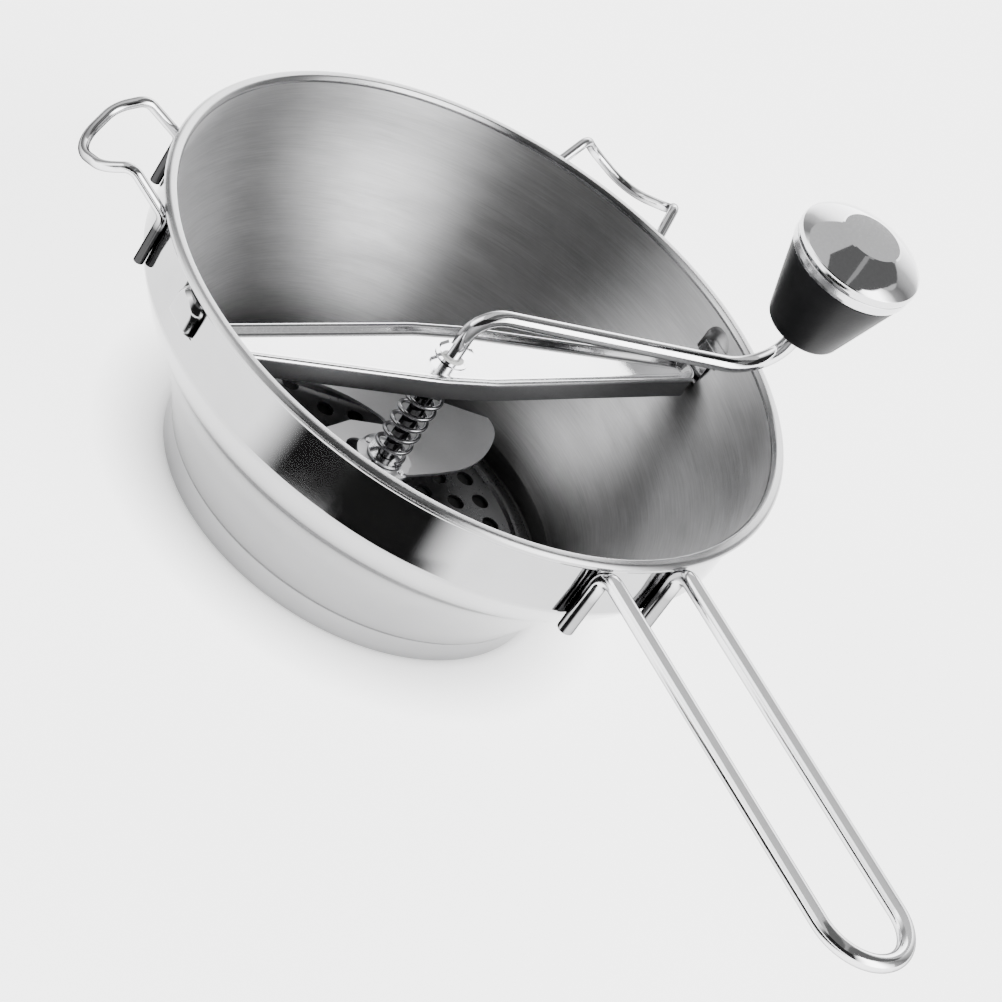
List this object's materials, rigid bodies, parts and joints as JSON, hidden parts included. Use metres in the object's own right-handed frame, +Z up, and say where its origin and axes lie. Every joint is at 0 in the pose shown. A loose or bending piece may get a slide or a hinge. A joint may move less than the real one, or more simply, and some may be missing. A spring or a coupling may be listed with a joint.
{
  "type": "potato ricer",
  "caption": "Rotary food mill for ricing potatoes: flared bowl with wire handle and pot hooks, cross-bar, sprung crank with knob, blade and perforated disc.",
  "frame": {"origin": "centre of the foot collar's lower edge, on the bowl's axis", "axes": "+Z up along the bowl's axis, +X along the long handle away from the bowl"},
  "size_m": [0.4026, 0.2631, 0.1794],
  "materials": {
    "bowl_steel": "stainless sheet, brushed round the inside and polished outside",
    "wire_steel": "polished stainless wire",
    "disc_steel": "satin stainless sheet",
    "bar_steel": "polished stainless sheet",
    "blade_steel": "satin stainless sheet",
    "spring_steel": "bright spring wire",
    "fitting_steel": "turned stainless steel",
    "bush_plastic": "pale acetal",
    "grip_black": "soft-touch black",
    "core_plastic": "moulded black",
    "sleeve_brass": "drawn tube",
    "band_steel": "brushed round the axis",
    "cap_steel": "polished stainless steel"
  },
  "bodies": {
    "bowl": {"bowl_shell": "bowl_steel", "long_handle": "wire_steel", "support_hook_left": "wire_steel", "support_hook_rear": "wire_steel", "sieve_disc": "disc_steel", "disc_hub": "disc_steel", "bridge_bar": "bar_steel", "bridge_bush": "bush_plastic", "bush_lock_ring": "fitting_steel", "upper_spring_washer": "fitting_steel", "compression_spring": "spring_steel"},
    "spring_seat": {"lower_spring_washer": "fitting_steel"},
    "crank": {"crank_rod": "wire_steel", "blade_hub": "fitting_steel", "blade": "blade_steel", "blade_rivets": "fitting_steel", "hub_pin": "fitting_steel", "knob_washer": "fitting_steel", "stem_push_nut": "fitting_steel"},
    "knob": {"knob_grip": "grip_black", "knob_core": "core_plastic", "knob_sleeve": "sleeve_brass", "knob_band": "band_steel", "knob_cap": "cap_steel"}
  },
  "joints": [
    {"name": "shaft_float", "type": "slide", "parent": "bowl", "child": "spring_seat", "axis": [0, 0, 1], "range_m": [0, 0.004], "stiffness_N_per_m": 1500, "springref_m": -0.006, "deforming": ["compression_spring"]},
    {"name": "crank_turn", "type": "hinge", "parent": "spring_seat", "child": "crank", "pos_m": [0, 0, 0.072], "axis": [0, 0, 1], "continuous": true},
    {"name": "knob_turn", "type": "hinge", "parent": "crank", "child": "knob", "pos_m": [0.03861, 0.10609, 0.1316], "axis": [0.0599, -0.0496, 0.997], "continuous": true}
  ]
}
